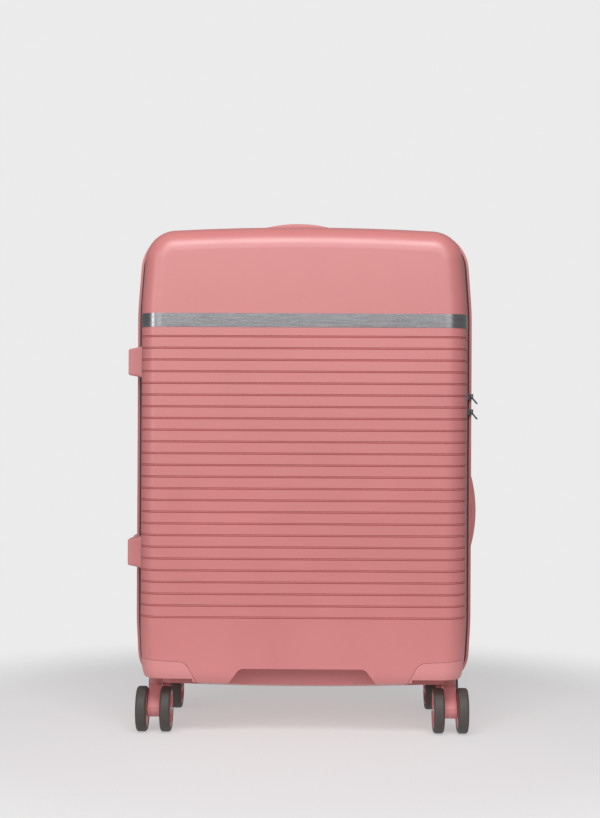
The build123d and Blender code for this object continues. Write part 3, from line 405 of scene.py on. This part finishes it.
def soft_copy(node, name, cell, swell, wave, mat, way=None):
    """Copy of a fabric node's shape, divided finely enough to crease, inward or along one way."""
    obj = bpy.data.objects.new(name, nodes[node].data.copy())
    bpy.context.scene.collection.objects.link(obj)
    bm = bmesh.new()
    bm.from_mesh(obj.data)
    bmesh.ops.remove_doubles(bm, verts=bm.verts, dist=1e-5)
    for _ in range(7):
        long = [e for e in bm.edges if e.calc_length() > cell]
        if not long:
            break
        bmesh.ops.subdivide_edges(bm, edges=long, cuts=1, use_grid_fill=False)
        bmesh.ops.triangulate(bm, faces=[f for f in bm.faces if len(f.verts) > 3])
    bm.normal_update()
    middle = sum((v.co for v in bm.verts), Vector()) / len(bm.verts)
    moves = []
    for v in bm.verts:
        inner = v.normal if v.normal.dot(middle - v.co) > 0 else -v.normal
        inner = way or inner
        height = noise.noise(v.co * wave) + 0.5 * noise.noise(v.co * wave * 2.3)
        crease = 1 - abs(noise.noise(Vector((v.co.x * 9, v.co.y * 9, v.co.z * 5)))) * 2.4
        moves.append(inner * swell * (0.55 + 0.5 * height + 0.45 * max(0.0, crease) ** 3))
    for v, move in zip(bm.verts, moves):
        v.co += move
    bm.to_mesh(obj.data)
    bm.free()
    obj.data.materials.clear()
    obj.data.materials.append(mat)
    obj.data.shade_smooth()
    return obj


def declare_tub(obj, body):
    """Hides the lining's CAD node and attaches the cloth copy to the body."""
    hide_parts(obj.name.replace("_cloth", ""))
    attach(obj, body)


front_cloth = soft_copy("front_lining", "front_lining_cloth", 0.012, 0.0012, 14, lining_mat)
declare_tub(front_cloth, "front_case")
rear_cloth = soft_copy("rear_lining", "rear_lining_cloth", 0.012, 0.0012, 14, lining_mat)
declare_tub(rear_cloth, "rear_case")

# ---- Divider
# Zipped polyester panel between the halves, bound round its edge with piping, on the same hinge line.
forward = Vector((0, -1, 0))
divider_cloth = soft_copy("divider_panel", "divider_cloth", 0.012, 0.0011, 11, lining_mat, forward)
low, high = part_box("divider_panel")
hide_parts("divider_panel")
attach(divider_cloth, "divider")
piping_mat = moulded("piping", colour(120, 84, 88), 0.6, 900, 0.0002, cloud=0.06)
PIPING_RADIUS = 0.0014


def round_cord(name, path, radius, mat, closed=True, sides=8):
    """Tube of even radius along a path of points that lie in one upright plane."""
    bm = bmesh.new()
    rings = []
    count = len(path)
    for k, spot in enumerate(path):
        after, before = path[(k + 1) % count], path[k - 1]
        if not closed:
            after, before = path[min(k + 1, count - 1)], path[max(k - 1, 0)]
        along = (after - before).normalized()
        across = along.cross(Vector((0, 1, 0))).normalized()
        turns = [2 * pi * j / sides for j in range(sides)]
        level = Vector((0, 1, 0))
        offsets = [(across * cos(a) + level * sin(a)) * radius for a in turns]
        rings.append([bm.verts.new(spot + offset) for offset in offsets])
    pairs = list(zip(rings, rings[1:] + rings[:1])) if closed else list(zip(rings, rings[1:]))
    for one, two in pairs:
        for j in range(sides):
            bm.faces.new((one[j], one[(j + 1) % sides], two[(j + 1) % sides], two[j]))
    if not closed:
        bm.faces.new(rings[0])
        bm.faces.new(rings[-1])
    bmesh.ops.recalc_face_normals(bm, faces=bm.faces)
    mesh = bpy.data.meshes.new(name)
    bm.to_mesh(mesh)
    bm.free()
    mesh.materials.append(mat)
    mesh.shade_smooth()
    cord = bpy.data.objects.new(name, mesh)
    bpy.context.scene.collection.objects.link(cord)
    return cord


edge_loop = plane_loop("divider_panel", low.y - 0.001, high.y + 0.001)
edge_path = [
    Vector((p.x, (low.y + high.y) / 2, p.y)) + Vector((n.x, 0, n.y)) * PIPING_RADIUS
    for p, n, _ in even_steps(edge_loop, 0.006)
]
piping = round_cord("divider_piping", edge_path, PIPING_RADIUS, piping_mat)
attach(piping, "divider")

# ---- Packing straps
# Polyester webbing woven in fine ribs, crossed over the rear half, and joined by a side release buckle.
webbing_mat, tree, shader = new_material("strap_webbing", colour(96, 74, 78), 0.8)
ribs = noise_node(tree, 700, stretch=(1, 1, 1), detail=2)
tinted(tree, ribs, colour(80, 60, 64), colour(112, 90, 94), shader)
bumped(tree, ribs, shader, 0.0003, 0.7)
shader.inputs["Sheen Weight"].default_value = 0.2
straps = soft_copy("cross_straps", "cross_straps_webbing", 0.010, 0.0004, 20, webbing_mat, forward)
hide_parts("cross_straps")
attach(straps, "rear_case")
low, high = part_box("cross_straps")
buckle_mat = moulded("buckle_plastic", colour(48, 45, 47), 0.42, 1200, 0.0002, cloud=0.06)
paint(buckle_mat, "strap_buckle")

# ---- Hinge gusset
# Strip of cloth sewn between the rims with a slack fold, given the zip tape's material. On the real case
# it opens as the front swings; this mesh is one fixed shape.
low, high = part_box("hinge_gusset")
GUSSET_REACH = (0.0140, -0.0060)
GUSSET_FOLD = 0.0040
GUSSET_COLUMNS = 13
GUSSET_ROWS = 60
bm = bmesh.new()
columns = []
for i in range(GUSSET_COLUMNS):
    t = i / (GUSSET_COLUMNS - 1)
    y = GUSSET_REACH[0] + (GUSSET_REACH[1] - GUSSET_REACH[0]) * t
    column = []
    for j in range(GUSSET_ROWS):
        z = low.z + (high.z - low.z) * j / (GUSSET_ROWS - 1)
        ripple = 1 + 0.25 * noise.noise(Vector((0, y * 60, z * 40)))
        column.append(bm.verts.new(((low.x + high.x) / 2 + GUSSET_FOLD * sin(pi * t) * ripple, y, z)))
    columns.append(column)
for one, two in zip(columns, columns[1:]):
    for j in range(GUSSET_ROWS - 1):
        bm.faces.new((one[j], one[j + 1], two[j + 1], two[j]))
bmesh.ops.solidify(bm, geom=bm.faces[:], thickness=0.0006)
bmesh.ops.recalc_face_normals(bm, faces=bm.faces)
mesh = bpy.data.meshes.new("hinge_gusset_cloth")
bm.to_mesh(mesh)
bm.free()
mesh.materials.append(tape_mat)
mesh.shade_smooth()
gusset = bpy.data.objects.new("hinge_gusset_cloth", mesh)
bpy.context.scene.collection.objects.link(gusset)
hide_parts("hinge_gusset")
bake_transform(gusset)
